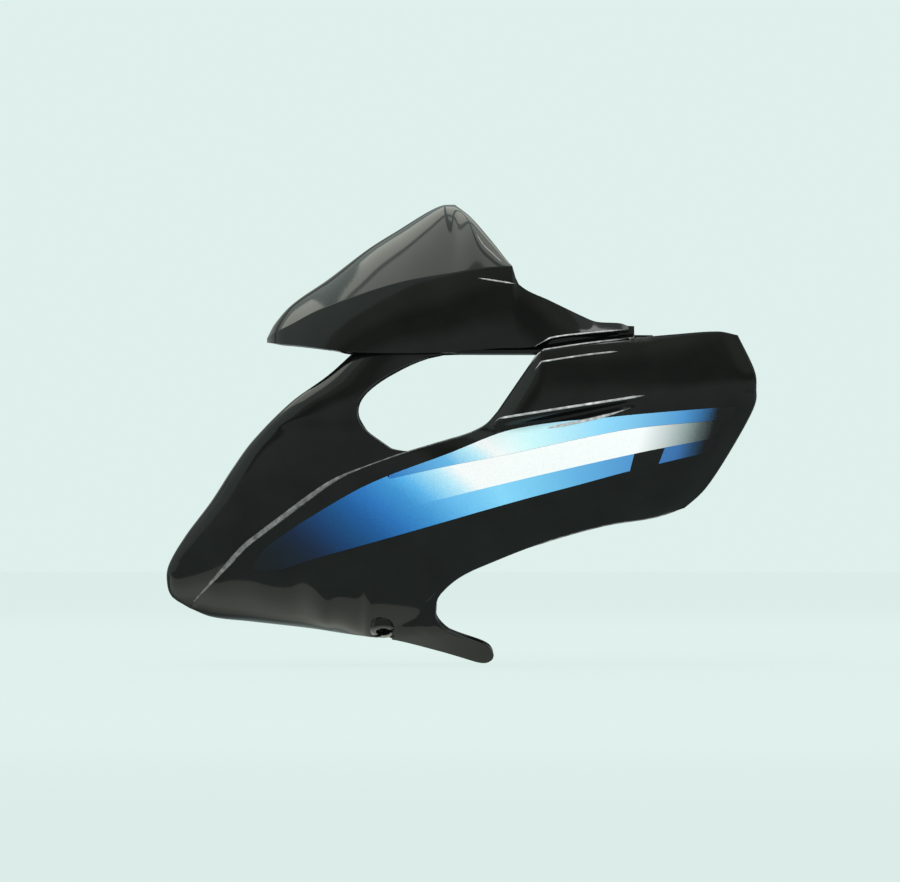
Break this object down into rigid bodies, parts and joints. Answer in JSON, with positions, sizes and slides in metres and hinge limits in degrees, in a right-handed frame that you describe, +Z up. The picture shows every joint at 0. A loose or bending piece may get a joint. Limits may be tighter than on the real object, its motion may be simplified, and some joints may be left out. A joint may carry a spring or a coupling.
{
  "type": "motorcycle headlight visor",
  "caption": "Gloss-black motorcycle headlight visor: beaked mask with a headlight opening, side windows and slim legs, under a peaked cowl, with fading blue and white stripes.",
  "frame": {"origin": "on the middle plane, half way along the length, level with the feet of the legs", "axes": "+X to the rider's left, +Y rearward along the length, +Z up"},
  "size_m": [0.2582, 0.4011, 0.314],
  "materials": {
    "body": "high gloss",
    "upper_stripe": "gloss film, fading to black at both ends",
    "middle_stripe": "gloss film, blue at the front turning white and then silver grey",
    "lower_stripe": "gloss film, fading to black at the front",
    "rear_block": "gloss film, fading to black at the rear",
    "screw": "bright zinc"
  },
  "bodies": {
    "root": {"headlight_mask": "body", "upper_cowl": "body", "front_screw_left": "screw", "front_screw_right": "screw", "rear_screw_left": "screw", "rear_screw_right": "screw", "upper_stripe_left": "upper_stripe", "upper_stripe_right": "upper_stripe", "middle_stripe_left": "middle_stripe", "middle_stripe_right": "middle_stripe", "lower_stripe_left": "lower_stripe", "lower_stripe_right": "lower_stripe", "rear_block_left": "rear_block", "rear_block_right": "rear_block"}
  },
  "joints": []
}
